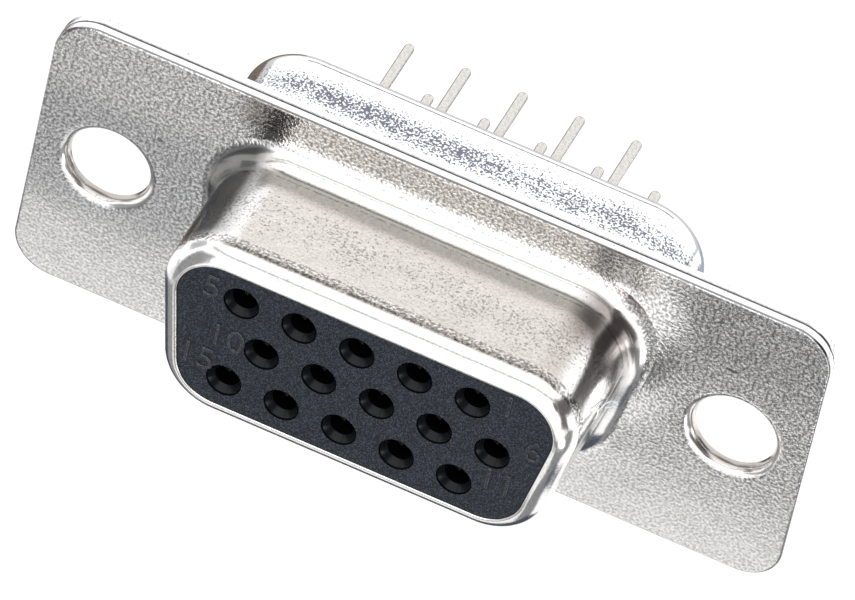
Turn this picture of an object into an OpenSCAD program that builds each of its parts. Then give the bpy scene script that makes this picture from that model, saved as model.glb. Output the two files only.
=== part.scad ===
// Fifteen-way high-density D-sub socket with straight tails for a circuit board.
// X runs along the flange, minus Y is the mating side, plus Z is the wide side of the D.
// The front face of the flange lies at Y = 0. All sizes are in millimetres.

/* [Flange] */
// Length of the flange
flange_w = 30.81; // [30.4:0.01:31.2]
// Height of the flange
flange_h = 12.5; // [12.4:0.05:12.8]
// Corner radius of the flange
flange_corner_r = 1.6; // [1.2:0.1:2.2]
// Thickness of the sheet of both shells
sheet_t = 0.4; // [0.36:0.01:0.44]
// How far each screw hole sits inside the middle of its ear
hole_shift = 0.0825; // [0:0.0025:0.2]
// Clear diameter of a screw hole
hole_d = 3.2; // [3:0.05:3.3]

/* [Shroud] */
// Width of the shroud over its outside
shroud_w = 16.33; // [16.2:0.01:16.46]
// Height of the shroud over its outside
shroud_h = 7.9; // [7.8:0.01:8]
// Corner radius of the shroud
shroud_corner_r = 2.4; // [2.2:0.05:2.6]
// Depth of the shroud in front of the flange
shroud_depth = 5.7; // [5.5:0.05:6.1]
// Radius of the bend from the flange into the shroud
base_fillet_r = 0.85; // [0.7:0.05:1.15]
// Radius of the rolled front rim
rim_r = 0.9; // [0.85:0.01:1]
// Width of the front rim around the insulator
rim_inset = 0.73; // [0.7:0.01:0.76]

/* [Boot] */
// Width of the boot over its outside
boot_w = 18.3; // [18.2:0.05:18.5]
// Height of the boot over its outside
boot_h = 10.5; // [10.4:0.05:10.6]
// Corner radius of the boot
boot_corner_r = 2.5; // [2.3:0.05:2.6]
// Distance from the front of the flange to the back of the boot
boot_depth = 4.72; // [4.5:0.01:5]
// Radius of the bend from the flange into the boot
boot_fillet_r = 0.6; // [0.5:0.05:0.65]
// Radius of the rolled rear edge
boot_rim_r = 0.9; // [0.8:0.05:1]
// Width of the rear lip
boot_lip_w = 1.7; // [1.5:0.05:1.8]

/* [Contacts] */
// Distance between contacts in a row
contact_pitch = 2.29; // [2.25:0.01:2.33]
// Distance between rows
row_pitch = 1.98; // [1.94:0.01:2.02]
// Diameter of a tail
tail_d = 0.4; // [0.34:0.01:0.5]
// Distance from the front of the flange to the tips of the tails
tail_reach = 10.05; // [9:0.05:12]
// Diameter of a contact hole behind its lead-in
mouth_d = 0.94; // [0.9:0.01:1]
// Diameter of a lead-in at the mating face
leadin_d = 1.4; // [1.3:0.02:1.5]
// Depth of a lead-in behind the mating face
leadin_depth = 0.35; // [0.25:0.01:0.45]

/* [Fit] */
// Gap around parts that slide into one another
clearance = 0.05; // [0.03:0.01:0.06]

/* [Hidden] */
$fn = 96;
// Slope of the sides of the D, about ten degrees
rake_sine = 0.1726;
rake = asin(rake_sine);
corner_turn = 60;
rows = 3;
columns = 5;
contact_count = rows * columns;
overlap = 0.2;

// Stack along Y
flange_stack = 2 * sheet_t;
insulator_split = sheet_t + clearance;
face_recess = 0.05;
face_y = shroud_depth - face_recess;
boot_lip_inner = boot_depth - sheet_t;
rear_block_proud = 0.88;
rear_block_reach = boot_depth + rear_block_proud;

// Front rim: the roll is cut off by a narrow flat
rim_flat_w = 0.12;
rim_roll = rim_inset - rim_flat_w;
rim_h = sqrt(pow(rim_r, 2) - pow(rim_r - rim_roll, 2));
rim_start = shroud_depth - rim_h;

// Eyelets, each near the middle of the ear between the boot and the end of the flange
ear_start = boot_w / 2 + boot_fillet_r;
hole_x = (ear_start + flange_w / 2) / 2 - hole_shift;
hole_r = hole_d / 2;
eyelet_r = hole_r + sheet_t;
eyelet_land = 0.1;
eyelet_flare = 0.45;
eyelet_hole_r = eyelet_r + sheet_t + clearance / 2;

// Cavities and sockets
mouth_length = 0.5;
collar_r = 0.88;
cavity_r = collar_r + clearance;
collar_t = 0.4;
collar_front = insulator_split - collar_t;
socket_step = 0.07;
socket_ri = mouth_d / 2 - socket_step;
socket_ro = 0.6;
socket_leadin = 0.08;
socket_floor = 0.3;
socket_setback = 0.15;
socket_length = 3.8;
socket_front = face_y - leadin_depth - mouth_length - socket_setback;
slit_w = 0.18;
slit_length = 2.6;
neck_r = 0.4;
tail_r = tail_d / 2;

function contact_name(n) = str("contact_", n < 10 ? "0" : "", n);

// Contact 1 sits at the right-hand end of the top row, seen from the mating side
function contact_row(n) = floor((n - 1) / columns);
function contact_column(n) = (n - 1) % columns;
function row_shift(row) = row == 1 ? contact_pitch / 3 : -contact_pitch / 6;
function contact_at(n) = [
    ((columns - 1) / 2 - contact_column(n)) * contact_pitch + row_shift(contact_row(n)),
    ((rows - 1) / 2 - contact_row(n)) * row_pitch
];

// Corner centres of a D outline, anticlockwise from the top right
function d_centres(w, h, r) =
    let (top = w / 2 - r, half = h / 2 - r, bottom = top - 2 * half * tan(rake))
    [[top, half], [-top, half], [-bottom, -half], [bottom, -half]];

// Angles at which each corner arc starts and ends
function arc_start(a) = [-a, 90, 180 + a, 270];
function arc_sweep(a) = [90 + a, 90 + a, 90 - a, 90 - a];

// Ends of the corner arcs, in order around the outline
function tangent_points(c, r, a) = [
    for (i = [0:3], end = [0, 1])
        let (angle = arc_start(a)[i] + end * arc_sweep(a)[i])
        c[i] + r * [cos(angle), sin(angle)]
];

shroud_centres = d_centres(shroud_w, shroud_h, shroud_corner_r);
boot_centres = d_centres(boot_w, boot_h, boot_corner_r);
flange_centres = [
    for (s = [[1, 1], [-1, 1], [-1, -1], [1, -1]])
        [s.x * (flange_w / 2 - flange_corner_r), s.y * (flange_h / 2 - flange_corner_r)]
];

module outline(c, r, a) {
    polygon(tangent_points(c, r, a));
    for (p = c)
        translate(p)
            circle(r = r);
}

// Outline of the shroud or the boot, moved in from its outside
module shroud_outline(inset) {
    outline(shroud_centres, shroud_corner_r - inset, rake);
}

module boot_outline(inset) {
    outline(boot_centres, boot_corner_r - inset, rake);
}

// Builds a piece in a plan view from the front, then stands it up with its front facing minus Y
module stand() {
    rotate([90, 0, 0])
        children();
}

// A slab between two distances behind the front of the flange
module slab(y0, y1) {
    translate([0, 0, -y1])
        linear_extrude(height = y1 - y0)
            children();
}

// Carries a section of the wall around a D, X of the section pointing outwards.
// Each corner is turned from both of its ends, and the two turns overlap.
module wall_sweep(c) {
    side_length = norm(c[0] - c[3]);
    translate(c[1])
        rotate([0, 0, 90])
            run(2 * c[0].x)
                children();
    for (side = [0, 1])
        mirror([side, 0, 0])
            translate(c[0]) {
                rotate([0, 0, 90])
                    rotate_extrude(angle = -corner_turn)
                        children();
                rotate([0, 0, -rake]) {
                    rotate_extrude(angle = corner_turn)
                        children();
                    run(side_length)
                        children();
                    translate([0, -side_length, 0]) {
                        rotate_extrude(angle = -corner_turn)
                            children();
                        rotate([0, 0, rake - 90]) {
                            rotate_extrude(angle = corner_turn)
                                children();
                            run(c[3].x + overlap)
                                children();
                        }
                    }
                }
            }
}

// A straight run of a wall section
module run(length) {
    rotate([90, 0, 0])
        linear_extrude(height = length)
            children();
}

// The part of a section that lies in the given quarter around a point
module quarter_of(centre, quarter) {
    reach = 2 * overlap + base_fillet_r + sheet_t;
    intersection() {
        translate(centre)
            children();
        translate(centre + reach / 2 * quarter)
            square(reach, center = true);
    }
}

// A bend of the sheet around a centre
module bend(centre, r_inner, quarter) {
    quarter_of(centre, quarter)
        difference() {
            circle(r = r_inner + sheet_t);
            circle(r = r_inner);
        }
}

module shroud_section() {
    r = shroud_corner_r;
    translate([r + base_fillet_r, -sheet_t])
        square([overlap, sheet_t]);
    bend([r + base_fillet_r, base_fillet_r], base_fillet_r, [-1, -1]);
    translate([r - sheet_t, base_fillet_r])
        square([sheet_t, rim_start - base_fillet_r]);
    intersection() {
        bend([r - rim_r, rim_start], rim_r - sheet_t, [1, 1]);
        translate([r - rim_inset, rim_start - overlap])
            square([rim_inset + overlap, rim_h + overlap]);
    }
}

module boot_section() {
    r = boot_corner_r;
    fillet_end = flange_stack + boot_fillet_r;
    roll_start = boot_depth - boot_rim_r;
    translate([r + boot_fillet_r, -flange_stack])
        square([overlap, sheet_t]);
    bend([r + boot_fillet_r, -fillet_end], boot_fillet_r, [-1, 1]);
    translate([r - sheet_t, -roll_start])
        square([sheet_t, roll_start - fillet_end]);
    bend([r - boot_rim_r, -roll_start], boot_rim_r - sheet_t, [1, -1]);
    translate([r - boot_lip_w, -boot_depth])
        square([boot_lip_w - boot_rim_r, sheet_t]);
}

// Section of an eyelet: rolled in at the front, flared by 45 degrees over the back of the rear shell
module eyelet_section() {
    flare_start = -sheet_t - eyelet_land;
    flare_end = flare_start - eyelet_flare;
    quarter_of([eyelet_r, -sheet_t], [-1, 1])
        circle(r = sheet_t);
    polygon([
        [hole_r, -sheet_t],
        [hole_r, flare_start],
        [hole_r + eyelet_flare, flare_end],
        [eyelet_r + eyelet_land + eyelet_flare, flare_end],
        [eyelet_r, -sheet_t]
    ]);
}

module at_holes() {
    for (side = [-1, 1])
        translate([side * hole_x, 0])
            children();
}

module front_shell() {
    color("silver")
        stand() {
            slab(0, sheet_t)
                difference() {
                    outline(flange_centres, flange_corner_r, 0);
                    shroud_outline(-base_fillet_r - overlap / 2);
                    at_holes()
                        circle(r = eyelet_r);
                }
            wall_sweep(shroud_centres)
                shroud_section();
            at_holes()
                rotate_extrude()
                    eyelet_section();
        }
}

module rear_shell() {
    color("gainsboro")
        stand() {
            slab(sheet_t, flange_stack)
                difference() {
                    outline(flange_centres, flange_corner_r, 0);
                    boot_outline(-boot_fillet_r - overlap / 2);
                    at_holes()
                        circle(r = eyelet_hole_r);
                }
            wall_sweep(boot_centres)
                boot_section();
        }
}

// Room for one contact: lead-in, mouth and cavity
module cavity() {
    mouth_r = mouth_d / 2;
    leadin_end = face_y - leadin_depth;
    leadin_slope = (leadin_d / 2 - mouth_r) / leadin_depth;
    mouth_end = leadin_end - mouth_length;
    rotate_extrude()
        polygon([
            [0, face_y + overlap],
            [leadin_d / 2 + overlap * leadin_slope, face_y + overlap],
            [mouth_r, leadin_end],
            [mouth_r, mouth_end],
            [cavity_r, mouth_end],
            [cavity_r, -insulator_split - overlap],
            [0, -insulator_split - overlap]
        ]);
}

module front_insulator() {
    color("darkslategray")
        stand()
            difference() {
                union() {
                    slab(-face_y, overlap - rim_start)
                        shroud_outline(rim_inset);
                    slab(-rim_start, insulator_split)
                        shroud_outline(sheet_t + clearance);
                }
                for (n = [1:contact_count])
                    translate(contact_at(n))
                        cavity();
            }
}

module rear_insulator() {
    roll_start = boot_depth - boot_rim_r;
    color("dimgray")
        stand()
            difference() {
                union() {
                    slab(insulator_split, roll_start)
                        boot_outline(sheet_t + clearance);
                    slab(roll_start - overlap, boot_lip_inner)
                        boot_outline(boot_rim_r);
                    slab(boot_lip_inner - overlap, rear_block_reach)
                        boot_outline(boot_lip_w + clearance);
                }
                for (n = [1:contact_count])
                    translate(contact_at(n))
                        slab(insulator_split - overlap, rear_block_reach + overlap)
                            circle(r = tail_r + clearance / 2);
            }
}

// One contact: split barrel, neck, collar and a tail with a round tip
module contact(n) {
    tip_centre = tail_r - tail_reach;
    barrel_end = socket_front - socket_length;
    color("gold")
        stand()
            translate(contact_at(n))
                difference() {
                    rotate_extrude() {
                        polygon([
                            [0, tip_centre],
                            [tail_r, tip_centre],
                            [tail_r, -insulator_split],
                            [collar_r, -insulator_split],
                            [collar_r, -collar_front],
                            [neck_r, -collar_front],
                            [neck_r, barrel_end],
                            [socket_ro, barrel_end],
                            [socket_ro, socket_front - socket_leadin],
                            [socket_ro - socket_leadin, socket_front],
                            [socket_ri + socket_leadin, socket_front],
                            [socket_ri, socket_front - socket_leadin],
                            [socket_ri, barrel_end + socket_floor],
                            [0, barrel_end + socket_floor]
                        ]);
                        quarter_of([0, tip_centre], [1, -1])
                            circle(r = tail_r);
                    }
                    translate([-slit_w / 2, -collar_r, socket_front - slit_length])
                        cube([slit_w, 2 * collar_r, slit_length + overlap]);
                }
}

front_shell();
rear_shell();
front_insulator();
rear_insulator();
for (n = [1:contact_count])
    contact(n);
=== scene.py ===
"""Looks of a high-density D-sub socket: plated shells, a dark insulator and tinned contacts.

Sizes of the part are in millimetres and those of the stage in metres, all in the frame of the part.
"""

import math

import bmesh
import bpy
from mathutils import Matrix, Vector


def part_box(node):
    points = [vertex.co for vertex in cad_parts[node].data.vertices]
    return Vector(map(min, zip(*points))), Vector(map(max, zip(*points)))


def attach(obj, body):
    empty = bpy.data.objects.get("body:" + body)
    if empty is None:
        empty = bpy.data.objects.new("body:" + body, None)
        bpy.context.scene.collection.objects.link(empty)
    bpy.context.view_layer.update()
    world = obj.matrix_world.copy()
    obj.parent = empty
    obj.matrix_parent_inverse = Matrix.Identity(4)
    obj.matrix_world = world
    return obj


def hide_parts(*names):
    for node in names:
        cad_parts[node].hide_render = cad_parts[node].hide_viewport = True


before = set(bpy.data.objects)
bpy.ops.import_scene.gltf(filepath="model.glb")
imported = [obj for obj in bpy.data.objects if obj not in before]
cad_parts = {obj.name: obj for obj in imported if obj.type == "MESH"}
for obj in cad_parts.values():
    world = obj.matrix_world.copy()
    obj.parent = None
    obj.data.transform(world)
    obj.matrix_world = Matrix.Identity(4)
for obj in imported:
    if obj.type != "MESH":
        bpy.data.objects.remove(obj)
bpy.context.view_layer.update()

MM = 0.001
SIDES = (-1, 1)


def corners(name):
    """Lowest and highest corner of a CAD node, in millimetres."""
    return [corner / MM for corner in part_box(name)]


def grey(level):
    return (level, level, level)


# Main sizes, from the frame
shell_low, shell_high = corners("front_shell")
FLANGE_W = shell_high.x - shell_low.x
FLANGE_H = shell_high.z - shell_low.z
SHROUD_DEPTH = -shell_low.y
BOOT_DEPTH = corners("rear_shell")[1].y
TAIL_END = corners("contact_01")[1].y

# Sheet metal
SHEET = 0.4
FLANGE_CORNER = 1.6
FRONT_EDGE, BACK_EDGE = 0.09, 0.06
FLAT = 0.03
HOLE_X, HOLE_R = 12.495, 1.6
EYELET_R = HOLE_R + SHEET
EYELET_LAND, EYELET_FLARE, EYELET_PLAY = 0.1, 0.45, 0.025
SEAM_START, SEAM_END = SHEET - 0.8 * BACK_EDGE, SHEET + 0.6 * FRONT_EDGE

# Shroud and boot
RAKE_SINE = 0.1726
RAKE = math.asin(RAKE_SINE)
SHROUD_W, SHROUD_H, SHROUD_CORNER = 16.33, 7.9, 2.4
BASE_FILLET, RIM_R, RIM_INSET, RIM_FLAT = 0.85, 0.9, 0.73, 0.12
RIM_EDGE = RIM_FLAT / 3
RIM_H = math.sqrt(RIM_R ** 2 - (RIM_R - RIM_INSET + RIM_FLAT) ** 2)
RIM_START = SHROUD_DEPTH - RIM_H
BOOT_W, BOOT_H, BOOT_CORNER = 18.3, 10.5, 2.5
BOOT_FILLET, BOOT_RIM_R, BOOT_LIP = 0.6, 0.9, 1.7

# Insulators
PLAY = 0.05
SPLIT = SHEET + PLAY
FACE_SUNK, BLOCK_PROUD = 0.05, 0.88
FACE_Y = -(SHROUD_DEPTH - FACE_SUNK)
MATING_EDGE = 0.07
BLOCK_END = BOOT_DEPTH + BLOCK_PROUD
BLOCK_EDGE, BORE_CHAMFER = 0.12, 0.06
LEADIN_R, LEADIN_DEPTH, MOUTH_R, MOUTH_LENGTH = 0.7, 0.35, 0.47, 0.5
LEADIN_END = FACE_Y + LEADIN_DEPTH
MOUTH_END = LEADIN_END + MOUTH_LENGTH

# Contacts
ROWS, COLUMNS, PITCH, ROW_PITCH = 3, 5, 2.29, 1.98
COLLAR_R, COLLAR_T, NECK_R = 0.88, 0.4, 0.4
CAVITY_R = COLLAR_R + PLAY
TAIL_R, TIP_ANGLE = 0.2, 84
SOCKET_RI, SOCKET_RO, SOCKET_EDGE, SOCKET_LENGTH, SOCKET_FLOOR = 0.4, 0.6, 0.08, 3.8, 0.3
SOCKET_SUNK = 0.15
SOCKET_FRONT = MOUTH_END + SOCKET_SUNK
SLIT_W, SLIT_LENGTH = 0.18, 2.6

# Pin numbers, by the middle of each on the mating face
NUMBER_SIZE, NUMBER_HEIGHT, NUMBER_BEVEL = 1.5, 0.05, 0.025
# Width and height of the thin dark sheet under each number that paints its shade outline
SHADE_OUTLINE_W, SHADE_OUTLINE_H = 0.035, 0.004
NUMBERS = {1: (5.55, 2.48), 5: (-6.16, 2.18), 6: (6.81, 0.86), 10: (-5.22, 0.02), 11: (5.79, -1.27),
           15: (-6.18, -1.34)}

# Fibre of lint on the right end of the shroud
LINT_R, LINT_X = 0.032, 8.3
LINT = [(-3.99, 1.95), (-3.56, 1.78), (-3.76, 2.22), (-3.31, 1.95), (-3.11, 1.93), (-2.54, 1.62),
        (-1.59, 0.84), (-0.77, -0.05), (-1.19, 0.23), (-2.85, 1.58)]

# Steps of the meshes
D_STEPS, FLANGE_STEPS = 28, 24
EYELET_STEPS, CAVITY_STEPS, BORE_STEPS, CONTACT_STEPS = 80, 56, 32, 40
CREASE = 30

# Grain of the plating: its noise, waves as a multiple of it, pits, calm spans and the fade along z
GRAIN_DETAIL, GRAIN_ROUGHNESS = 2.0, 0.55
WAVE = 14
PIT_START, PIT_END = 0.36, 0.62
CALM_SOFT = 0.05
FADE_START, FADE_END = -5.5, 1.0

# Specks and blemishes of the plating
SPECK, SPECK_START, SPECK_END = 0.085, 0.70, 0.80
SPECK_UNEVEN, SPECK_OUTSIDE = 0.25, -0.12
BLEMISH_START, BLEMISH_END, BLEMISH_COLOUR = 1.3, 1.7, grey(0.22)

# Insulator: colours, the near-black of the mouths being painted shade, and depths behind the mating face
# where a painted dark ring of shade at the top of each lead-in starts and ends
LEADIN_COLOUR, MOUTH_SHADE_COLOUR = (0.005, 0.006, 0.008), (0.002, 0.002, 0.002)
RIM_DARKENS, RIM_LIGHTENS = (0.003, 0.01), (0.09, 0.05)
NUMBER_GLOSS, FACE_GLOSS, WORN_ROUGHNESS, WORN_GRAIN = 0.6, 0.24, 0.22, 0.1

# Camera, from the photograph
VIEW_AZIMUTH, VIEW_ELEVATION, VIEW_ROLL = 13.63, 44.05, 13.60
VIEW_DISTANCE, VIEW_LENS, SENSOR = 0.6106, 710.3, 36
VIEW_TARGET = Vector((0.287, 0.161, 0.091)) * MM

# Studio
FLOOR_Z, FLOOR_SIZE, FLOOR_COLOUR = -0.05, 2, grey(0.97)
WORLD_STRENGTH = 0.9
KEY_DIRECTION, KEY_DISTANCE, KEY_SIZE, KEY_RADIANCE = (0.1, -0.62, 0.78), 0.9, 1.1, 1.4
CHECK_SIZE = 0.005
CARD_Z, CARD_ABOVE, CARD_TOP = -0.049, -0.0485, -0.048


# Outlines: each station is a corner centre and an angle, so that a radius gives a point

def d_stations(width, height, corner):
    top, half = width / 2 - corner, height / 2 - corner
    bottom = top - 2 * half * math.tan(RAKE)
    arcs = [((top, half), -RAKE, math.pi / 2),
            ((-top, half), math.pi / 2, math.pi + RAKE),
            ((-bottom, -half), math.pi + RAKE, 1.5 * math.pi),
            ((bottom, -half), 1.5 * math.pi, 2 * math.pi - RAKE)]
    return arc_stations(arcs, D_STEPS)


def flange_stations():
    x, z = FLANGE_W / 2 - FLANGE_CORNER, FLANGE_H / 2 - FLANGE_CORNER
    centres = [(x, z), (-x, z), (-x, -z), (x, -z)]
    arcs = [(centre, i * math.pi / 2, (i + 1) * math.pi / 2) for i, centre in enumerate(centres)]
    return arc_stations(arcs, FLANGE_STEPS)


def arc_stations(arcs, steps):
    return [(centre, a + (b - a) * i / steps) for centre, a, b in arcs for i in range(steps + 1)]


def round_stations(x, z, steps):
    return [((x, z), 2 * math.pi * i / steps) for i in range(steps)]


def bow(centre, radius, start, end, steps):
    """Points of an arc in a section, angles in degrees; the first axis points outwards, the second back."""
    angles = [math.radians(start + (end - start) * i / steps) for i in range(steps + 1)]
    return [(centre[0] + radius * math.cos(a), centre[1] + radius * math.sin(a)) for a in angles]


def with_flats(section, width):
    """Begins and ends a section with a narrow flat step, so that the bend beside it shades evenly."""
    (r0, y0), (r1, y1) = section[0], section[-1]
    return [(r0 + width, y0)] + section + [(r1 + width, y1)]


# Meshes and pieces

def strip(bm, stations, section):
    """Carries a section around an outline and returns its first and last loop."""
    loops = []
    for r, y in section:
        points = [(c[0] + r * math.cos(a), y, c[1] + r * math.sin(a)) for c, a in stations]
        loops.append([bm.verts.new([v * MM for v in point]) for point in points])
    for near, far in zip(loops, loops[1:]):
        for i in range(len(near)):
            bm.faces.new((near[i - 1], near[i], far[i], far[i - 1]))
    return loops[0], loops[-1]


def cap_ends(bm, outer, holes):
    """Fills the first and the last flat face between an outline and the holes in it."""
    for end in (0, 1):
        loops = [outer[end]] + [hole[end] for hole in holes]
        edges = [bm.edges.get((loop[i - 1], loop[i])) for loop in loops for i in range(len(loop))]
        bmesh.ops.triangle_fill(bm, use_beauty=True, edges=edges)


def to_mesh(name, bm):
    bmesh.ops.recalc_face_normals(bm, faces=bm.faces)
    mesh = bpy.data.meshes.new(name)
    bm.to_mesh(mesh)
    bm.free()
    return mesh


def baked(blank):
    """The final mesh of a helper object, which is then removed."""
    bpy.context.scene.collection.objects.link(blank)
    graph = bpy.context.evaluated_depsgraph_get()
    mesh = bpy.data.meshes.new_from_object(blank.evaluated_get(graph))
    bpy.data.objects.remove(blank)
    return mesh


def place(name, mesh, material, replaced=None, at=(0, 0, 0)):
    """Shows a mesh as a piece on the part's one body; its place is in millimetres."""
    mesh.shade_smooth()
    mesh.set_sharp_from_angle(angle=math.radians(CREASE))
    mesh.materials.clear()
    mesh.materials.append(material)
    made = bpy.data.objects.new(name, mesh)
    made.location = Vector(at) * MM
    bpy.context.scene.collection.objects.link(made)
    weighted = made.modifiers.new("weighted_normals", "WEIGHTED_NORMAL")
    weighted.keep_sharp = True
    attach(made, "root")
    if replaced:
        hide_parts(replaced)
    return made


# Shells

def flange_edge(front, back):
    """Section of the flange's outline, by its front and its back along y."""
    edge = (bow((FLANGE_CORNER - FRONT_EDGE, front + FRONT_EDGE), FRONT_EDGE, -90, 0, steps=6)
            + bow((FLANGE_CORNER - BACK_EDGE, back - BACK_EDGE), BACK_EDGE, 0, 90, steps=5))
    return with_flats(edge, -FLAT)


def shroud_section():
    """The sheet from the flange's front over the filleted base and the rolled rim to the flange's back."""
    base = (SHROUD_CORNER + BASE_FILLET, -BASE_FILLET)
    roll = (SHROUD_CORNER - RIM_R, -RIM_START)
    rim = (SHROUD_CORNER - RIM_INSET + RIM_EDGE, -SHROUD_DEPTH + RIM_EDGE)
    roll_end = -math.degrees(math.asin(RIM_H / RIM_R))
    inner_end = -math.degrees(math.acos((RIM_R - RIM_INSET) / (RIM_R - SHEET)))
    section = (bow(base, BASE_FILLET, 90, 180, steps=18)
               + bow(roll, RIM_R, 0, roll_end, steps=18)
               + bow(rim, RIM_EDGE, -90, -180, steps=4)
               + bow(roll, RIM_R - SHEET, inner_end, 0, steps=10)
               + bow(base, BASE_FILLET + SHEET, 180, 90, steps=14))
    return with_flats(section, FLAT)


def eyelet_section():
    """The sheet drawn through a screw hole and flared behind the rear shell."""
    flare_start = SHEET + EYELET_LAND
    flare_end = flare_start + EYELET_FLARE
    section = (bow((EYELET_R, SHEET), SHEET, -90, -180, steps=14)
               + [(HOLE_R, flare_start), (HOLE_R + EYELET_FLARE, flare_end),
                  (EYELET_R + EYELET_LAND + EYELET_FLARE, flare_end), (EYELET_R, SHEET)])
    return with_flats(section, FLAT)


def boot_section():
    """The sheet from the inside of the boot over its rolled lip and back to the rear of the flange."""
    bend = (BOOT_CORNER + BOOT_FILLET, 2 * SHEET + BOOT_FILLET)
    roll = (BOOT_CORNER - BOOT_RIM_R, BOOT_DEPTH - BOOT_RIM_R)
    lip = BOOT_CORNER - BOOT_LIP + BACK_EDGE
    section = (bow(bend, BOOT_FILLET + SHEET, -90, -180, steps=12)
               + bow(roll, BOOT_RIM_R - SHEET, 0, 90, steps=10)
               + bow((lip, BOOT_DEPTH - SHEET + BACK_EDGE), BACK_EDGE, -90, -180, steps=4)
               + bow((lip, BOOT_DEPTH - BACK_EDGE), BACK_EDGE, 180, 90, steps=4)
               + bow(roll, BOOT_RIM_R, 90, 0, steps=18)
               + bow(bend, BOOT_FILLET, 180, 270, steps=14))
    return with_flats(section, FLAT)


def screw_holes(bm, section):
    return [strip(bm, round_stations(side * HOLE_X, 0, EYELET_STEPS), section) for side in SIDES]


def front_shell(material):
    bm = bmesh.new()
    outer = strip(bm, flange_stations(), flange_edge(0, SHEET))
    shroud = strip(bm, d_stations(SHROUD_W, SHROUD_H, SHROUD_CORNER), shroud_section())
    cap_ends(bm, outer, [shroud] + screw_holes(bm, eyelet_section()))
    return place("front_shell_plated", to_mesh("front_shell_plated", bm), material, "front_shell")


def rear_shell(material):
    bm = bmesh.new()
    front, back = SHEET, 2 * SHEET
    outer = strip(bm, flange_stations(), flange_edge(front, back))
    boot = strip(bm, d_stations(BOOT_W, BOOT_H, BOOT_CORNER), boot_section())
    hole_r = EYELET_R + SHEET + EYELET_PLAY
    cap_ends(bm, outer, [boot] + screw_holes(bm, [(hole_r, front), (hole_r, back)]))
    return place("rear_shell_plated", to_mesh("rear_shell_plated", bm), material, "rear_shell")


def dark_seam(shell, material):
    """Paints the shade of the gap onto the rounded edges that meet between the two sheets."""
    shell.data.materials.append(material)
    for face in shell.data.polygons:
        x, y, z = (abs(v) / MM for v in face.center)
        at_outline = x > FLANGE_W / 2 - FRONT_EDGE or z > FLANGE_H / 2 - FRONT_EDGE
        from_corner = math.hypot(x - FLANGE_W / 2 + FLANGE_CORNER, z - FLANGE_H / 2 + FLANGE_CORNER)
        at_corner = from_corner > FLANGE_CORNER - FRONT_EDGE and x > HOLE_X and z > HOLE_R
        if SEAM_START < y < SEAM_END and (at_outline or at_corner):
            face.material_index = 1


# Insulators

def contact_places():
    for row in range(ROWS):
        shift = PITCH / 3 if row == 1 else -PITCH / 6
        for column in range(COLUMNS):
            yield ((COLUMNS - 1) / 2 - column) * PITCH + shift, ((ROWS - 1) / 2 - row) * ROW_PITCH


def contact_holes(bm, section, steps):
    return [strip(bm, round_stations(x, z, steps), section) for x, z in contact_places()]


def front_insulator(material, gap):
    bm = bmesh.new()
    boss, body = SHROUD_CORNER - RIM_INSET, SHROUD_CORNER - SHEET - PLAY
    section = (bow((boss - MATING_EDGE, FACE_Y + MATING_EDGE), MATING_EDGE, -90, 0, steps=6)
               + [(boss, -RIM_START), (body, -RIM_START), (body, SPLIT)])
    outer = strip(bm, d_stations(SHROUD_W, SHROUD_H, SHROUD_CORNER), section)
    cavity = [(LEADIN_R, FACE_Y), (MOUTH_R, LEADIN_END), (MOUTH_R, MOUTH_END), (CAVITY_R, MOUTH_END),
              (CAVITY_R, SPLIT)]
    cap_ends(bm, outer, contact_holes(bm, cavity, CAVITY_STEPS))
    mesh = to_mesh("front_insulator_moulded", bm)
    made = place("front_insulator_moulded", mesh, material, "front_insulator")
    dark_gap(made, gap)


def dark_gap(insulator, material, sideways=0.2, depth=1.2 * MATING_EDGE):
    """Paints the shade of the gap beside the rim onto the rounded edge of the mating face."""
    insulator.data.materials.append(material)
    for face in insulator.data.polygons:
        beside = max(abs(face.normal.x), abs(face.normal.z)) > sideways
        at_edge = FACE_Y < face.center.y / MM < FACE_Y + depth
        if at_edge and beside and outside_holes(face.center):
            face.material_index = 1


def outside_holes(centre, reach=1.1 * LEADIN_R):
    """Tells whether a point lies clear of all the contact holes."""
    return all(math.hypot(centre.x / MM - x, centre.z / MM - z) > reach for x, z in contact_places())


def rear_insulator(material):
    bm = bmesh.new()
    insets = (SHEET + PLAY, BOOT_RIM_R, BOOT_LIP + PLAY)
    block, step, tail_block = (BOOT_CORNER - inset for inset in insets)
    shoulder, lip = BOOT_DEPTH - BOOT_RIM_R, BOOT_DEPTH - SHEET
    section = ([(block, SPLIT), (block, shoulder), (step, shoulder), (step, lip), (tail_block, lip)]
               + bow((tail_block - BLOCK_EDGE, BLOCK_END - BLOCK_EDGE), BLOCK_EDGE, 0, 90, steps=6))
    outer = strip(bm, d_stations(BOOT_W, BOOT_H, BOOT_CORNER), section)
    r = TAIL_R + PLAY / 2
    bore = [(r, SPLIT), (r, BLOCK_END - BORE_CHAMFER), (r + BORE_CHAMFER, BLOCK_END)]
    cap_ends(bm, outer, contact_holes(bm, bore, BORE_STEPS))
    mesh = to_mesh("rear_insulator_moulded", bm)
    place("rear_insulator_moulded", mesh, material, "rear_insulator")


def number_mesh(n, x, z, height, bevel, wider):
    """A pin number on the mating face, by the place of its middle."""
    data = bpy.data.curves.new(f"number_{n}", "FONT")
    data.body, data.size = str(n), NUMBER_SIZE * MM
    data.align_x, data.align_y = "CENTER", "CENTER"
    data.extrude, data.bevel_depth, data.offset = (height - bevel) * MM, bevel * MM, wider * MM
    mesh = baked(bpy.data.objects.new(f"number_{n}", data))
    upright = Matrix.Rotation(math.pi / 2, 4, "X")
    mesh.transform(Matrix.Translation(Vector((x, FACE_Y, z)) * MM) @ upright)
    return mesh


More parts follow.
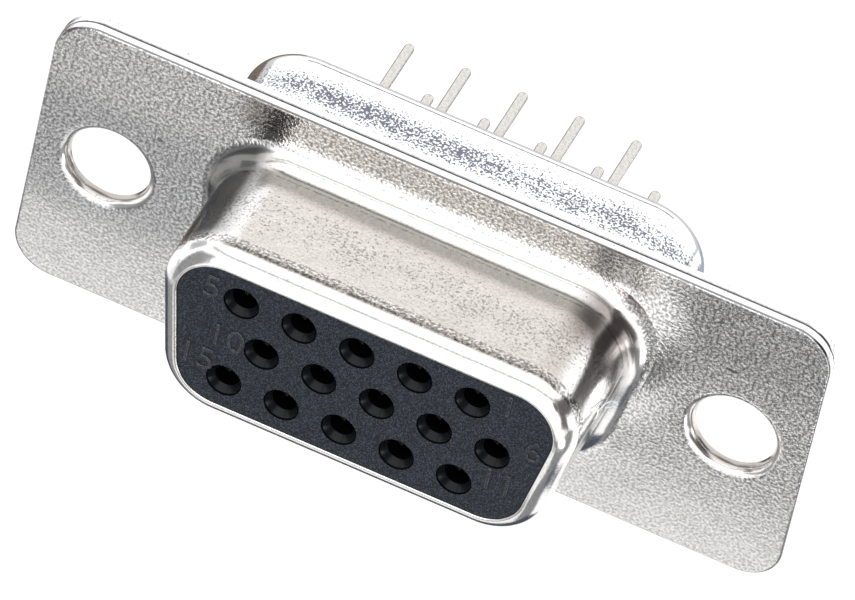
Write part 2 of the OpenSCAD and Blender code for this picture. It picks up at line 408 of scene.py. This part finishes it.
def numbers(material, shade_outline):
    """Raised numbers at the ends of the rows, each on a thin, slightly wider dark sheet that paints a shade
    outline around it.
    """
    for n, (x, z) in NUMBERS.items():
        raised = number_mesh(n, x, z, NUMBER_HEIGHT, NUMBER_BEVEL, -NUMBER_BEVEL)
        place(f"number_{n:02d}_moulded", raised, material)
        around_it = number_mesh(n, x, z, SHADE_OUTLINE_H, 0, SHADE_OUTLINE_W)
        place(f"number_{n:02d}_groove", around_it, shade_outline)


# Contacts

def contact_mesh():
    """One contact about its own axis: split barrel, neck, collar and a tail with a round tip."""
    bm = bmesh.new()
    barrel_end = SOCKET_FRONT + SOCKET_LENGTH
    section = ([(SOCKET_RI, barrel_end - SOCKET_FLOOR), (SOCKET_RI, SOCKET_FRONT + SOCKET_EDGE),
                (SOCKET_RI + SOCKET_EDGE, SOCKET_FRONT), (SOCKET_RO - SOCKET_EDGE, SOCKET_FRONT),
                (SOCKET_RO, SOCKET_FRONT + SOCKET_EDGE), (SOCKET_RO, barrel_end), (NECK_R, barrel_end),
                (NECK_R, SPLIT - COLLAR_T), (COLLAR_R, SPLIT - COLLAR_T), (COLLAR_R, SPLIT), (TAIL_R, SPLIT)]
               + bow((0, TAIL_END - TAIL_R), TAIL_R, 0, TIP_ANGLE, steps=8))
    for loop in strip(bm, round_stations(0, 0, CONTACT_STEPS), section):
        bm.faces.new(loop)
    whole = bpy.data.objects.new("contact_blank", to_mesh("contact", bm))
    cutter = slit_cutter()
    slit = whole.modifiers.new("slit", "BOOLEAN")
    slit.object, slit.operation, slit.solver = cutter, "DIFFERENCE", "EXACT"
    cut = baked(whole)
    bpy.data.objects.remove(cutter)
    return cut


def slit_cutter():
    """A flat block that cuts the slit through both sides of a barrel."""
    bpy.ops.mesh.primitive_cube_add(size=1)
    cutter = bpy.context.object
    cutter.scale = (SLIT_W * MM, SLIT_LENGTH * MM, 2 * COLLAR_R * MM)
    cutter.location = (0, (SOCKET_FRONT + SLIT_LENGTH / 2 - SOCKET_EDGE) * MM, 0)
    return cutter


def contacts(material):
    mesh = contact_mesh()
    for n, (x, z) in enumerate(contact_places(), start=1):
        place(f"contact_{n:02d}_tinned", mesh, material, f"contact_{n:02d}", at=(x, 0, z))


def lint(material):
    """A fibre that hangs on the right end of the shroud."""
    data = bpy.data.curves.new("lint", "CURVE")
    data.dimensions, data.bevel_depth, data.bevel_resolution = "3D", LINT_R * MM, 2
    spline = data.splines.new("NURBS")
    spline.points.add(len(LINT) - 1)
    for point, (y, z) in zip(spline.points, LINT):
        point.co = (LINT_X * MM, y * MM, z * MM, 1)
    spline.order_u, spline.use_endpoint_u = 3, True
    place("lint_fibre", baked(bpy.data.objects.new("lint", data)), material)


# Shader nodes

def new_material(name):
    material = bpy.data.materials.new(name)
    material.use_nodes = True
    tree = material.node_tree
    return material, tree, tree.nodes["Principled BSDF"]


def node(tree, kind, settings=None, **inputs):
    """Adds a shader node; an input takes a value or another node's output."""
    made = tree.nodes.new(kind)
    for key, value in (settings or {}).items():
        setattr(made, key, value)
    for key, value in inputs.items():
        by_number = key[0] == "i" and key[1:].isdigit()
        socket = made.inputs[int(key[1:]) if by_number else key.replace("_", " ")]
        if isinstance(value, bpy.types.NodeSocket):
            tree.links.new(value, socket)
        else:
            socket.default_value = value
    return made


def wire(tree, shader, **values):
    """Links node outputs to the inputs of a shader by name."""
    for key, value in values.items():
        tree.links.new(value, shader.inputs[key.replace("_", " ")])


def object_place(tree):
    """The place of a point in the frame of its piece."""
    return node(tree, "ShaderNodeTexCoord").outputs["Object"]


def axes_of(tree, where):
    return node(tree, "ShaderNodeSeparateXYZ", Vector=where).outputs


def noise(tree, where, size, detail, roughness=0.5):
    """Noise with cells of a size in millimetres."""
    made = node(tree, "ShaderNodeTexNoise", Vector=where, Scale=1 / (size * MM), Detail=detail,
                Roughness=roughness)
    return made.outputs[0]


def maths(tree, operation, *values):
    inputs = {f"i{n}": value for n, value in enumerate(values)}
    return node(tree, "ShaderNodeMath", {"operation": operation}, **inputs).outputs[0]


def vector_maths(tree, operation, *values):
    inputs = {f"i{n}": value for n, value in enumerate(values)}
    made = node(tree, "ShaderNodeVectorMath", {"operation": operation}, **inputs)
    return made.outputs["Value" if operation == "LENGTH" else "Vector"]


def product(tree, values):
    amount = 1.0
    for value in values:
        amount = maths(tree, "MULTIPLY", amount, value)
    return amount


def rgba(colour):
    return colour if isinstance(colour, bpy.types.NodeSocket) else (*colour, 1)


def mixed(tree, amount, first, second, blend="MIX"):
    """Mixes two colours; each is a node's output or three numbers."""
    made = node(tree, "ShaderNodeMix", {"data_type": "RGBA", "blend_type": blend}, i0=amount,
                i6=rgba(first), i7=rgba(second))
    return made.outputs[2]


def ramp(tree, value, stops):
    made = node(tree, "ShaderNodeValToRGB", Fac=value)
    elements = made.color_ramp.elements
    while len(elements) < len(stops):
        elements.new(0.5)
    for element, (position, colour) in zip(elements, stops):
        element.position = position
        element.color = rgba(colour)
    return made.outputs["Color"]


def scaled(tree, value, low, high, start=0.0, end=1.0):
    """Brings a value that runs from start to end evenly between low and high."""
    return node(tree, "ShaderNodeMapRange", Value=value, i1=start, i2=end, i3=low, i4=high).outputs[0]


def step_up(tree, value, start, end, low=0.0, high=1.0):
    """A smooth step of a value between two limits."""
    smooth = {"interpolation_type": "SMOOTHSTEP"}
    made = node(tree, "ShaderNodeMapRange", smooth, Value=value, i1=start, i2=end, i3=low, i4=high)
    return made.outputs[0]


def step_between(tree, value, none, full):
    """A smooth step from nothing at one place to all at another, in either order, in millimetres."""
    if none < full:
        return step_up(tree, value, none * MM, full * MM)
    return step_up(tree, value, full * MM, none * MM, 1.0, 0.0)


def bumped(tree, height, distance, strength=1.0, normal=None):
    """The normal that a height gives, on top of another normal if there is one."""
    made = node(tree, "ShaderNodeBump", Height=height, Strength=strength, Distance=distance)
    if normal is not None:
        tree.links.new(normal, made.inputs["Normal"])
    return made.outputs[0]


# Plating

def calmed(tree, y, strength, spans):
    """Keeps only a share of the grain inside each span along y."""
    for start, end, share in spans:
        rise = step_up(tree, y, (start - CALM_SOFT) * MM, start * MM)
        fall = step_up(tree, y, end * MM, (end + CALM_SOFT) * MM)
        kept = step_up(tree, maths(tree, "SUBTRACT", rise, fall), 0, 1, 1.0, share)
        strength = maths(tree, "MULTIPLY", strength, kept)
    return strength


def speckled(tree, where, y, broad, colour, mark, start, end, density):
    """Dark specks over a colour, densest in the middle of a span along y given in millimetres."""
    middle, half = (start + end) / 2, (end - start) / 2
    distance = maths(tree, "ABSOLUTE", maths(tree, "SUBTRACT", y, middle * MM))
    dense = step_up(tree, distance, 0, half * MM, density, SPECK_OUTSIDE)
    uneven = maths(tree, "MULTIPLY_ADD", broad, SPECK_UNEVEN, dense)
    amount = maths(tree, "ADD", noise(tree, where, SPECK, 1.0), uneven)
    return mixed(tree, step_up(tree, amount, SPECK_START, SPECK_END), colour, mark)


def burnished(tree, axes, colour, limits, tint):
    """Tints a patch, mostly to paint shade or a reflection into the colour; each limit gives an axis and, in
    millimetres, where the tint starts and is full.
    """
    amount = product(tree, [step_between(tree, axes[axis], none, full) for axis, none, full in limits])
    return mixed(tree, amount, colour, tint, blend="MULTIPLY")


def blemished(tree, where, fine, colour, x, z, width, height):
    """A small dark blemish on the front of the flange, by its middle and its size in millimetres."""
    shifted = vector_maths(tree, "SUBTRACT", where, (x * MM, 0, z * MM))
    sized = vector_maths(tree, "MULTIPLY", shifted, (2 / (width * MM), 1 / MM, 2 / (height * MM)))
    ragged = maths(tree, "ADD", vector_maths(tree, "LENGTH", sized), fine)
    amount = step_up(tree, ragged, BLEMISH_START, BLEMISH_END, 1.0, 0.0)
    return mixed(tree, amount, colour, BLEMISH_COLOUR)


def sheet_bend(tree, axes, height, width, corner):
    """Height of the sheet as it bends up towards the shroud, with more at the upper right corner."""
    top, half = SHROUD_W / 2 - SHROUD_CORNER, SHROUD_H / 2 - SHROUD_CORNER
    slope = math.tan(RAKE)
    side, up = (maths(tree, "ABSOLUTE", axes[axis]) for axis in "XZ")
    lean = maths(tree, "MULTIPLY_ADD", axes["Z"], -slope, side)
    beyond_x = maths(tree, "SUBTRACT", lean, (top - half * slope) * MM)
    beyond_z = maths(tree, "SUBTRACT", up, half * MM)
    beyond = node(tree, "ShaderNodeCombineXYZ", X=beyond_x, Y=beyond_z).outputs[0]
    distance = vector_maths(tree, "LENGTH", vector_maths(tree, "MAXIMUM", beyond, (0, 0, 0)))
    fillet_end = SHROUD_CORNER + BASE_FILLET
    share = scaled(tree, distance, 1.0, 0.0, fillet_end * MM, (fillet_end + width) * MM)
    to_right, upwards = ("X", 5.5, 8.0), ("Z", -2.4, 2.2)
    at_corner = product(tree, [step_between(tree, axes[axis], none, full)
                               for axis, none, full in (to_right, upwards)])
    rise = step_up(tree, at_corner, 0, 1, height * MM, height * corner * MM)
    return product(tree, [share, share, rise])


def plated_metal(name, dark, light, grain, depth, rough, draft, draft_end, calm, marks, tint_patches=(), spots=(),
                 sink=None, fade=1.0):
    """Bright plating with a fine grain; lengths are in millimetres.

    The draft tilts the walls by that slope, from the given y outwards. Each calm span along y keeps a share
    of the grain. Marks are dark specks over a span along y. The tint patches darken patches, mostly as
    painted shade and painted reflections, and spots are small blemishes on the front of the flange. The sink
    is the height and width by which the sheet bends towards a drawn wall, and how much more it does so at a
    corner.
    The grain fades to a share towards the bottom.
    """
    material, tree, shader = new_material(name)
    where = object_place(tree)
    axes = axes_of(tree, where)
    y = axes["Y"]
    fine = noise(tree, where, grain, GRAIN_DETAIL, GRAIN_ROUGHNESS)
    broad = noise(tree, where, WAVE * grain, GRAIN_DETAIL)
    strength = step_up(tree, axes["Z"], FADE_START * MM, FADE_END * MM, fade, 1.0)
    strength = calmed(tree, y, strength, calm)
    pitted = ramp(tree, step_up(tree, fine, PIT_START, PIT_END), [(0.0, dark), (1.0, light)])
    colour = speckled(tree, where, y, broad, mixed(tree, strength, light, pitted), *marks)
    for limits, tint in tint_patches:
        colour = burnished(tree, axes, colour, limits, tint)
    for spot in spots:
        colour = blemished(tree, where, fine, colour, *spot)
    uneven = maths(tree, "MULTIPLY_ADD", fine, 0.2, strength)
    smooth, dull = rough
    roughness = scaled(tree, uneven, dull, smooth, 0.1, 1.1)
    grains = bumped(tree, fine, depth * MM, strength)
    waves = bumped(tree, broad, depth * MM, normal=grains)
    wall = maths(tree, "MINIMUM" if draft < 0 else "MAXIMUM", y, draft_end * MM)
    normal = bumped(tree, wall, -draft, normal=waves)
    if sink:
        normal = bumped(tree, sheet_bend(tree, axes, *sink), 1.0, normal=normal)
    wire(tree, shader, Base_Color=colour, Roughness=roughness, Normal=normal)
    shader.inputs["Metallic"].default_value = 1.0
    return material


# Painted shade, painted reflections and a few darker patches on the front shell: the limits of each patch
# and its tint

def around(axis, middle, none, full):
    """Limits at the same distances on both sides of a middle."""
    return [(axis, middle - none, middle - full), (axis, middle + none, middle + full)]


ON_FLANGE = [("Y", -0.05, -0.02), ("Y", 0.06, 0.02)]
ON_STRIP = [("Y", -0.12, -0.02), ("Y", 0.06, 0.02)]
ON_EDGE = [("Y", 0.0, 0.02), ("Y", 0.09, 0.06)]
EDGE_LINE_IN, EDGE_LINE_SOFT, EDGE_TINT = 0.75, 0.1, (0.35, 0.36, 0.38)
EYELET_NONE, EYELET_FULL, EYELET_TINT = 2.4, 2.2, (0.55, 0.52, 0.50)
HALF_SIZES = (("X", FLANGE_W / 2 - EDGE_LINE_IN), ("Z", FLANGE_H / 2 - EDGE_LINE_IN))


def shroud_wear():
    # Painted dark reflections on the drawn corners of the shroud near its base
    left_corner = [("X", -6.0, -7.2), ("Z", 0.0, 1.8), ("Y", -5.0, -4.2), ("Y", 0.0, -0.12)]
    right_corner = [("X", 5.4, 6.8), ("Z", 1.6, 2.6), ("Y", -3.2, -1.4), ("Y", -0.05, -0.3)]
    return [(left_corner, grey(0.22)), (right_corner, (0.40, 0.37, 0.36))]


def flange_wear():
    # Painted reflections on the strip of flange above the shroud
    above_shroud = [("X", -8.6, -7.4), ("X", 9.0, 7.6), ("Z", 4.5, 5.2)]
    right_of_that = [("X", 5.4, 6.5), ("X", 8.3, 7.4), ("Z", 4.6, 5.0)]
    # Slightly darker patches beside the left screw hole and at the upper right
    beside_left_hole = [("X", -7.0, -8.2), ("Z", -3.5, -1.5), ("Z", 4.0, 2.0)]
    upper_right = [("X", 9.5, 10.5), ("Z", 2.0, 4.0)]
    return [(above_shroud + ON_STRIP, (0.54, 0.52, 0.49)),
            (right_of_that + ON_STRIP, grey(0.36)),
            (beside_left_hole + ON_FLANGE, (0.80, 0.81, 0.83)),
            (upper_right + ON_FLANGE, (0.85, 0.85, 0.86))]


def edge_wear():
    # A painted dark reflection along the outline of the flange's front
    lines = [(axis, sign * inner, sign * (inner + EDGE_LINE_SOFT))
             for axis, inner in HALF_SIZES for sign in SIDES]
    return [([line] + ON_EDGE, EDGE_TINT) for line in lines]


def eyelet_wear():
    # Painted shade inside the screw holes
    inside = [("Y", 0.08, 0.25)] + around("Z", 0, EYELET_NONE, EYELET_FULL)
    return [(inside + around("X", side * HOLE_X, EYELET_NONE, EYELET_FULL), EYELET_TINT) for side in SIDES]


# Materials

def front_plating():
    """Grained plating that is calm on the drawn walls, with painted shade and painted reflections in patches
    and a few small blemishes.
    """
    spots = [(-10.76, 2.39, 0.25, 0.2), (11.89, 3.02, 0.45, 0.15), (11.09, 5.05, 0.2, 0.15),
             (-2.75, 5.30, 0.35, 0.07), (-2.45, 5.36, 0.35, 0.06)]
    return plated_metal(
        "plated_steel", dark=(0.36, 0.355, 0.35), light=(0.93, 0.92, 0.905), grain=0.12, depth=0.016,
        rough=(0.07, 0.19), draft=-0.11, draft_end=-0.3,
        calm=[(-5.8, -5.05, 0.17), (-4.55, -0.95, 0.20), (-0.85, -0.08, 0.12), (0.05, 0.8, 0.06)],
        marks=((0.45, 0.44, 0.43), -5.2, -0.6, 0.04),
        tint_patches=shroud_wear() + flange_wear() + edge_wear() + eyelet_wear(),
        spots=spots, sink=(0.015, 2.0, 20.0), fade=0.5)


def rear_plating():
    """Bright plating with a band of dark specks around the boot."""
    return plated_metal(
        "plated_boot", dark=(0.86, 0.87, 0.89), light=(0.95, 0.95, 0.95), grain=0.12, depth=0.010,
        rough=(0.05, 0.10), draft=0.09, draft_end=0.9, calm=[(0.9, 3.4, 0.4), (3.5, 4.8, 0.2)],
        marks=((0.17, 0.18, 0.22), 1.2, 3.9, 0.15))


def contact_metal():
    """Near-black barrel, painted as the shade inside the insulator, that turns to tin along the tail."""
    material, tree, shader = new_material("contact_metal")
    where = object_place(tree)
    y = axes_of(tree, where)["Y"]
    fine = noise(tree, where, 0.08, 2.0)
    tin = ramp(tree, fine, [(0.4, (0.56, 0.55, 0.51)), (0.6, (0.72, 0.70, 0.66))])
    # Painted shade: the barrel near black inside the insulator
    barrel_shade = ramp(tree, fine, [(0.4, (0.012, 0.010, 0.008)), (0.6, (0.024, 0.020, 0.016))])
    colour = mixed(tree, step_up(tree, y, 0, MM), barrel_shade, tin)
    wire(tree, shader, Base_Color=colour, Roughness=scaled(tree, fine, 0.15, 0.35),
         Normal=bumped(tree, fine, 0.004 * MM))
    shader.inputs["Metallic"].default_value = 1.0
    return material


def matt_mottle(name, dark, light):
    """A matt surface mottled between two colours."""
    material, tree, shader = new_material(name)
    fine = noise(tree, object_place(tree), 0.15, 3.0)
    wire(tree, shader, Base_Color=ramp(tree, fine, [(0.35, dark), (0.75, light)]),
         Roughness=scaled(tree, fine, 0.5, 0.8), Normal=bumped(tree, fine, 0.01 * MM, 0.5))
    return material


def moulded_plastic():
    """Dark glass-filled plastic, worn smooth in the lead-ins and on the raised numbers, darker in the
    lead-ins, with painted shade as a dark ring at the top of each lead-in and as near black deep in each
    mouth.
    """
    material, tree, shader = new_material("moulded_insulator")
    where = object_place(tree)
    y = axes_of(tree, where)["Y"]
    fine = noise(tree, where, 0.055, 1.0)
    face = ramp(tree, fine, [(0.36, (0.001, 0.002, 0.004)), (0.52, (0.008, 0.012, 0.020)),
                             (0.68, (0.036, 0.048, 0.070))])
    behind_face = step_up(tree, y, FACE_Y * MM, (FACE_Y + 0.03) * MM)
    # Painted shade: a near-black ring at the top of each lead-in
    rim = product(tree, [step_between(tree, y, FACE_Y + none, FACE_Y + full)
                         for none, full in (RIM_DARKENS, RIM_LIGHTENS)])
    # Painted shade: near black deep in each mouth
    deep = step_between(tree, y, LEADIN_END - 0.03, LEADIN_END + 0.01)
    colour = mixed(tree, behind_face, face, LEADIN_COLOUR)
    for dark_part in (rim, deep):
        colour = mixed(tree, dark_part, colour, MOUTH_SHADE_COLOUR)
    dark = maths(tree, "MAXIMUM", deep, rim)
    raised = step_up(tree, y, (FACE_Y - 0.03) * MM, (FACE_Y - 0.005) * MM, NUMBER_GLOSS, 0.0)
    gloss = maths(tree, "ADD", step_up(tree, dark, 0, 1, FACE_GLOSS, 0.0), raised)
    distance = maths(tree, "ABSOLUTE", maths(tree, "SUBTRACT", y, FACE_Y * MM))
    worn = step_up(tree, distance, 0.01 * MM, 0.03 * MM)
    grainy = scaled(tree, fine, 0.42, 0.62)
    roughness = node(tree, "ShaderNodeMix", i0=worn, i2=grainy, i3=WORN_ROUGHNESS).outputs[0]
    normal = bumped(tree, fine, 0.012 * MM, step_up(tree, worn, 0, 1, 1.0, WORN_GRAIN))
    wire(tree, shader, Base_Color=colour, Specular_IOR_Level=gloss, Roughness=roughness, Normal=normal)
    return material


# Stage

def camera():
    data = bpy.data.cameras.new("camera")
    data.lens, data.sensor_width, data.sensor_fit = VIEW_LENS, SENSOR, "HORIZONTAL"
    made = bpy.data.objects.new("camera", data)
    bpy.context.scene.collection.objects.link(made)
    turn = (Matrix.Rotation(math.radians(VIEW_AZIMUTH), 4, "Z")
            @ Matrix.Rotation(math.radians(90 - VIEW_ELEVATION), 4, "X")
            @ Matrix.Rotation(math.radians(VIEW_ROLL), 4, "Z"))
    back = turn @ Vector((0, 0, 1))
    made.matrix_world = Matrix.Translation(VIEW_TARGET + back * VIEW_DISTANCE) @ turn
    bpy.context.scene.camera = made


def key_lamp():
    """A square soft box that the camera and the gloss don't see, with the brightness of its face."""
    data = bpy.data.lights.new("key", "AREA")
    data.shape, data.size = "SQUARE", KEY_SIZE
    data.energy = KEY_RADIANCE * math.pi * KEY_SIZE * KEY_SIZE
    made = bpy.data.objects.new("key", data)
    made.visible_camera = made.visible_glossy = False
    bpy.context.scene.collection.objects.link(made)
    direction = Vector(KEY_DIRECTION).normalized()
    turn = direction.to_track_quat("Z", "Y").to_matrix().to_4x4()
    made.matrix_world = Matrix.Translation(direction * KEY_DISTANCE) @ turn


def stage_piece(name, patch, material):
    points, faces = patch
    mesh = bpy.data.meshes.new(name)
    mesh.from_pydata(points, [], faces)
    mesh.materials.append(material)
    made = bpy.data.objects.new(name, mesh)
    bpy.context.scene.collection.objects.link(made)
    return made


def dome_patch(azimuth, elevation, radius, steps=12):
    """Part of a ball around the object; angles in degrees, azimuth from straight behind."""
    points = []
    for i in range(steps + 1):
        a = math.radians(azimuth[0] + (azimuth[1] - azimuth[0]) * i / steps)
        for j in range(steps + 1):
            e = math.radians(elevation[0] + (elevation[1] - elevation[0]) * j / steps)
            level = Vector((math.sin(a), math.cos(a), 0)) * math.cos(e)
            points.append((level + Vector((0, 0, math.sin(e)))) * radius)
    row = steps + 1
    faces = [(i * row + j, i * row + j + 1, (i + 1) * row + j + 1, (i + 1) * row + j)
             for i in range(steps) for j in range(steps)]
    return points, faces


def flat_patch(x, y, z=CARD_Z):
    """A rectangle that lies over the floor, in metres."""
    return [(x[0], y[0], z), (x[1], y[0], z), (x[1], y[1], z), (x[0], y[1], z)], [(0, 1, 2, 3)]


def floor():
    material, _, shader = new_material("floor")
    shader.inputs["Base Color"].default_value = rgba(FLOOR_COLOUR)
    shader.inputs["Roughness"].default_value = 0.9
    shader.inputs["Specular IOR Level"].default_value = 0.0
    span = (-FLOOR_SIZE, FLOOR_SIZE)
    stage_piece("floor", flat_patch(span, span, FLOOR_Z), material)


def card(name, patch, colour, other=None):
    """A card that only the gloss of the object sees, plain or checked with a second colour."""
    material, tree, shader = new_material(name)
    shader.inputs["Base Color"].default_value = (0, 0, 0, 1)
    shader.inputs["Specular IOR Level"].default_value = 0.0
    shader.inputs["Emission Color"].default_value = rgba(colour)
    shader.inputs["Emission Strength"].default_value = 1.0
    if other:
        checks = node(tree, "ShaderNodeTexChecker", Vector=object_place(tree), Scale=1 / CHECK_SIZE,
                      Color1=rgba(colour), Color2=rgba(other))
        wire(tree, shader, Emission_Color=checks.outputs["Color"])
    made = stage_piece(name, patch, material)
    made.visible_camera = made.visible_diffuse = made.visible_shadow = False
    made.visible_transmission = made.visible_volume_scatter = False


CARDS = {
    "front_wall": (dome_patch((90, 270), (-20, 89), 0.34), grey(1.35)),
    "front_gap": (dome_patch((140, 250), (41.5, 46.5), 0.30), (0.18, 0.17, 0.16)),
    "backdrop": (dome_patch((-90, 90), (-7, 53), 0.34), (1.25, 1.25, 1.27)),
    "back_beam": (dome_patch((-22, 15), (14, 20), 0.30), (0.08, 0.10, 0.18)),
    "ceiling": (dome_patch((-90, 90), (53, 86), 0.33), (1.00, 0.95, 0.90)),
    "ceiling_shade": (dome_patch((-90, 90), (59, 70), 0.325), (0.50, 0.46, 0.43)),
    "ceiling_beam": (dome_patch((-90, 90), (70, 78), 0.32), (0.08, 0.07, 0.06)),
    "left_flag": (dome_patch((208, 242), (-36, 22), 0.085), (0.30, 0.30, 0.31)),
    "left_low": (dome_patch((225, 262), (-75, -35), 0.051), grey(0.30)),
    "left_edge": (dome_patch((262, 300), (-75, -35), 0.051), (0.05, 0.06, 0.09)),
    "front_bright": (dome_patch((160, 207), (4, 24), 0.30), (5.0, 5.0, 5.2)),
    "right_shade": (dome_patch((58, 146), (8, 50), 0.21), (0.45, 0.44, 0.44)),
    "right_upper": (dome_patch((64, 139), (12, 44), 0.20), (0.12, 0.11, 0.11)),
    "right_flag": (dome_patch((113, 139), (-27, 12), 0.20), (0.14, 0.13, 0.13)),
    "strip_flag": (dome_patch((142, 160), (16, 38), 0.20), (0.08, 0.075, 0.07)),
    "right_low": (dome_patch((124, 146), (-37, -25), 0.060), grey(3.0)),
    "right_window": (dome_patch((90, 102), (-12, -2), 0.20), grey(4.0)),
    "low_right": (dome_patch((12, 34), (-36, -18), 0.08), (0.40, 0.43, 0.50)),
    "left_shade": (dome_patch((256, 284), (8, 34), 0.21), (0.55, 0.55, 0.56)),
    "left_hole": (flat_patch((-0.029, -0.018), (-0.0520, -0.0470), CARD_ABOVE), (0.04, 0.04, 0.05),
                  (0.40, 0.41, 0.43)),
    "back_far": (flat_patch((-0.4, 0.4), (0.06, 0.4)), (0.66, 0.66, 0.67)),
    "low_back": (dome_patch((36, 75), (-60, -8), 0.07), grey(1.8)),
    "low_left": (dome_patch((-60, -20), (-38, -14), 0.08), (0.20, 0.16, 0.13)),
    # A dark card under the object that stands in for its shadow on the floor, seen in the reflections only:
    # a painted shadow
    "under": (flat_patch((-0.03, 0.03), (-0.014, 0.012), CARD_TOP), (0.06, 0.07, 0.10)),
    "front_near": (flat_patch((-0.1, 0.016), (-0.047, -0.014)), (1.0, 1.0, 0.99)),
    "front_side": (flat_patch((0.016, 0.2), (-0.047, -0.014)), (0.25, 0.25, 0.26)),
    "front_left": (flat_patch((-0.2, -0.018), (-0.066, -0.047)), grey(0.10), grey(0.95)),
    "front_right": (flat_patch((-0.018, 0.2), (-0.068, -0.047)), grey(0.02), (0.24, 0.24, 0.25)),
    "front_end": (flat_patch((-0.006, 0.2), (-0.0515, -0.047), CARD_ABOVE), grey(0.15), (0.90, 0.90, 0.88)),
}


def studio():
    scene = bpy.context.scene
    scene.view_settings.view_transform = "Standard"
    world = bpy.data.worlds.new("studio")
    world.use_nodes = True
    background = world.node_tree.nodes["Background"]
    background.inputs["Color"].default_value = (1, 1, 1, 1)
    background.inputs["Strength"].default_value = WORLD_STRENGTH
    scene.world = world
    floor()
    key_lamp()
    for name, (patch, *colours) in CARDS.items():
        card(name, patch, *colours)


# The part on its stage

# Dark matt that paints the shade in the seam between the two sheets
seam = matt_mottle("seam_painted_shade", (0.010, 0.011, 0.014), (0.10, 0.10, 0.11))
for shell in (front_shell(front_plating()), rear_shell(rear_plating())):
    dark_seam(shell, seam)
plastic = moulded_plastic()
# Near-black matt that paints shade: the outlines of the numbers and the gap at the edge of the mating face
shade_outline = matt_mottle("painted_shade_matt", (0.002, 0.002, 0.003), (0.006, 0.007, 0.009))
front_insulator(plastic, shade_outline)
rear_insulator(matt_mottle("moulded_rear", (0.010, 0.012, 0.016), (0.040, 0.046, 0.058)))
contacts(contact_metal())
numbers(plastic, shade_outline)
lint(matt_mottle("lint_white", (0.80, 0.85, 0.90), (0.92, 0.94, 0.96)))
camera()
studio()
